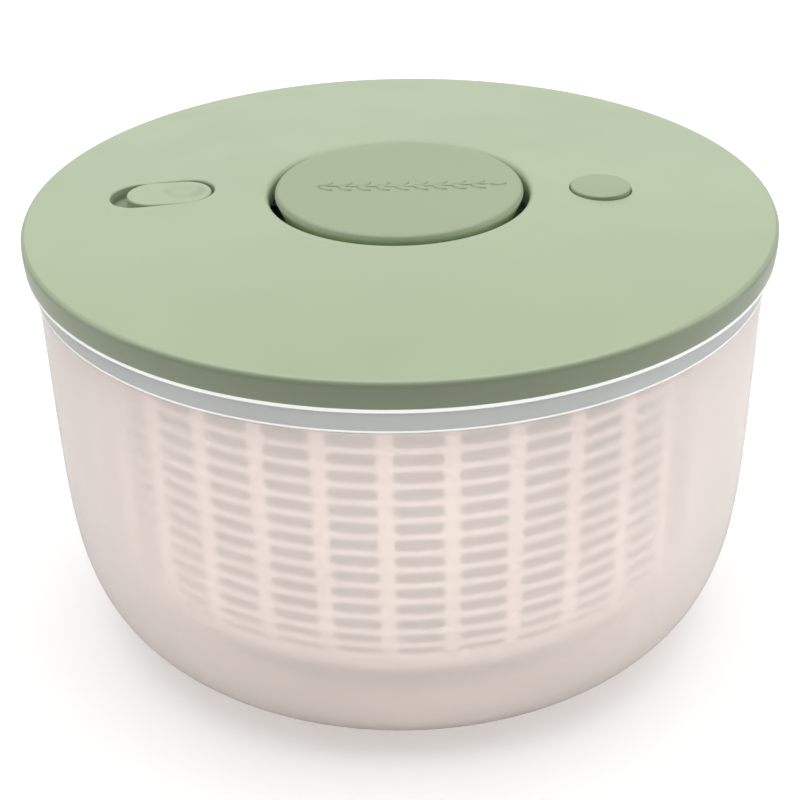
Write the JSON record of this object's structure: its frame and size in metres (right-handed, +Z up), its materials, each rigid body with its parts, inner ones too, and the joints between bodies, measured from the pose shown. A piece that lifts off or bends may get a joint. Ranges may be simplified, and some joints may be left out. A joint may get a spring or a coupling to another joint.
{
  "type": "salad spinner",
  "caption": "Salad spinner: frosted bowl, slotted basket that spins on a pin, and a lid with a push-down pump knob, knob lock slider and brake button.",
  "frame": {"origin": "on the table under the middle of the bowl", "axes": "+Z up; the lock slider lies towards -X and the brake button towards +X"},
  "size_m": [0.266, 0.266, 0.161],
  "materials": {
    "sage_cover": "satin moulded sage green",
    "sage_knob": "fine matt moulded sage green",
    "frosted_bowl": "frosted translucent, faint warm tint",
    "basket_plastic": "satin off-white",
    "clear_plastic": "grey translucent",
    "inner_plastic": "satin grey",
    "bearing_plastic": "natural white, slightly waxy",
    "soft_rubber": "matt soft",
    "steel": "bright drawn"
  },
  "bodies": {
    "bowl_body": {"bowl": "frosted_bowl", "base_grip_ring": "soft_rubber", "bowl_pivot_pin": "steel"},
    "lid": {"lid_base": "clear_plastic", "lid_seal": "soft_rubber", "lid_cover": "sage_cover", "lid_screws": "steel", "pump_housing": "inner_plastic", "housing_screws": "steel", "slide_ring": "bearing_plastic", "ring_screws": "steel", "spindle_bush": "bearing_plastic", "thrust_washer": "steel"},
    "knob": {"knob_cap": "sage_knob", "knob_carrier": "inner_plastic", "knob_screws": "steel", "helix_nut": "bearing_plastic", "return_spring": "steel"},
    "spindle": {"drive_spindle": "steel", "clutch_driver": "bearing_plastic", "clutch_screw": "steel"},
    "rotor": {"drive_disc": "clear_plastic", "drive_hub": "bearing_plastic", "hub_screws": "steel"},
    "pivot": {"basket_pivot_cup": "bearing_plastic"},
    "spinning_basket": {"basket": "basket_plastic"},
    "brake": {"brake_button": "sage_knob", "brake_stem": "inner_plastic", "brake_pad": "soft_rubber", "brake_spring": "steel"},
    "lock": {"lock_slider": "sage_knob", "lock_bolt": "inner_plastic", "lock_tongue": "steel", "lock_screw": "steel"}
  },
  "joints": [
    {"name": "lid_lift", "type": "slide", "parent": "bowl_body", "child": "lid", "axis": [0, 0, 1], "range_m": [0, 0.3]},
    {"name": "basket_lift", "type": "slide", "parent": "bowl_body", "child": "pivot", "axis": [0, 0, 1], "range_m": [0, 0.15]},
    {"name": "basket_spin", "type": "hinge", "parent": "pivot", "child": "spinning_basket", "pos_m": [0, 0, 0.02], "axis": [0, 0, 1], "continuous": true},
    {"name": "disc_spin", "type": "hinge", "parent": "lid", "child": "rotor", "pos_m": [0, 0, 0.105], "axis": [0, 0, 1], "continuous": true},
    {"name": "knob_slide", "type": "slide", "parent": "lid", "child": "knob", "axis": [0, 0, 1], "range_m": [0, 0.032], "deforming": ["return_spring", "lock_tongue"]},
    {"name": "spindle_turn", "type": "hinge", "parent": "lid", "child": "spindle", "pos_m": [0, 0, 0.105], "axis": [0, 0, 1], "range_deg": [-576.5, 0.5]},
    {"name": "brake_press", "type": "slide", "parent": "lid", "child": "brake", "axis": [0, 0, -1], "range_m": [0, 0.0025], "stiffness_N_per_m": 300, "springref_m": -0.001, "deforming": ["brake_spring"]},
    {"name": "lock_slide", "type": "slide", "parent": "lid", "child": "lock", "axis": [-0.9931, -0.1175, 0], "range_m": [0, 0.0053]}
  ],
  "couplings": [
    {"joint": "basket_lift", "follows": "lid_lift", "ratio": 0.5},
    {"joint": "spindle_turn", "follows": "knob_slide", "rad_per_m": -314.16},
    {"joint": "disc_spin", "follows": "basket_spin", "ratio": 1}
  ]
}
